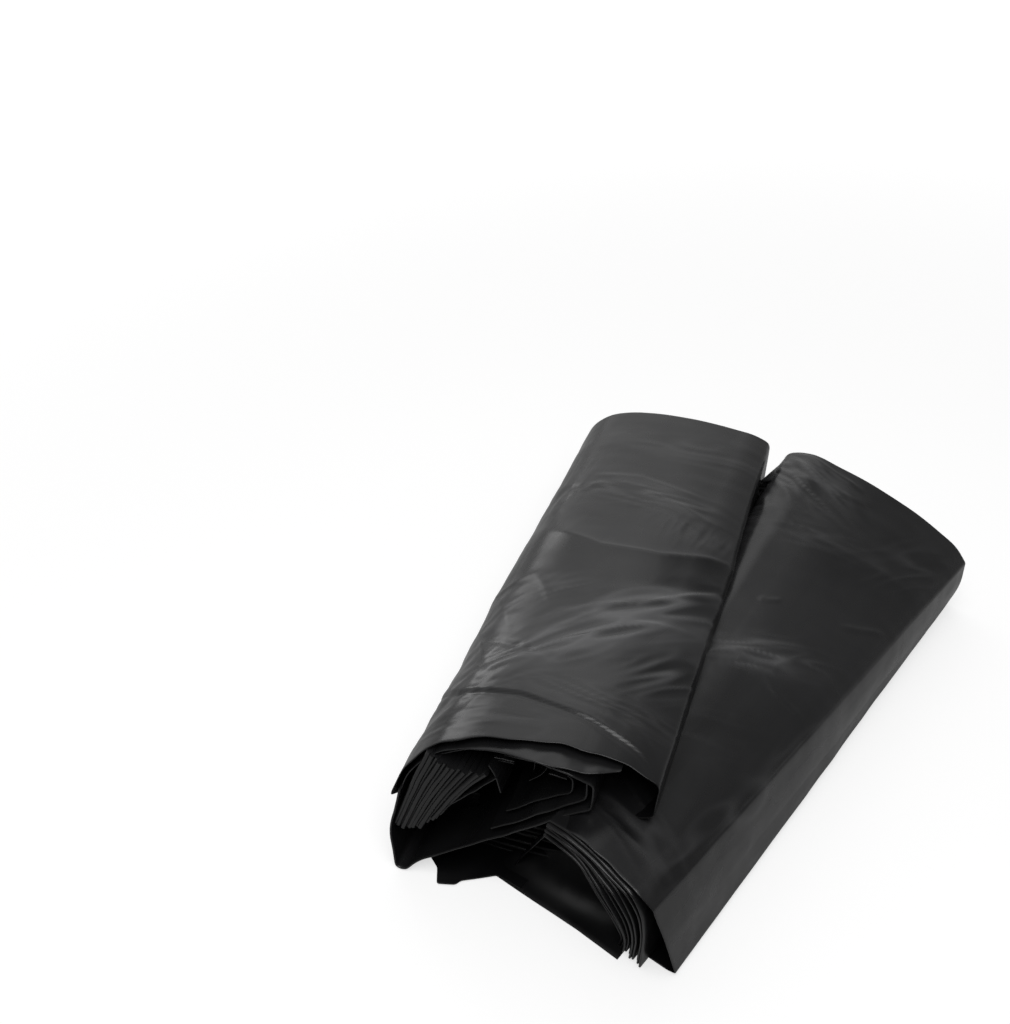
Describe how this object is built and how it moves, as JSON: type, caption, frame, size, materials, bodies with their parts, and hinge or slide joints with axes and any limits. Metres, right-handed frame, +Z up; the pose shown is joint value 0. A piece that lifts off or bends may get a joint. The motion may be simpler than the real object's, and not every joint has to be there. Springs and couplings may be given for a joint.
{
  "type": "bin bag roll",
  "caption": "Folded roll of flat black plastic bin bags: the stack is turned over from both sides into long lobes that cross at one end and fan apart at the other",
  "frame": {"origin": "on the floor, at the centre of the object's footprint", "axes": "+Z is up, the lobes run along Y with the end where they cross towards -Y, and +X is the side of the lower lobe"},
  "size_m": [0.387, 0.5298, 0.133],
  "materials": {
    "film": "thin black polythene film with a soft, slightly silky gloss"
  },
  "bodies": {
    "root": {"bag_roll": "film"}
  },
  "joints": []
}
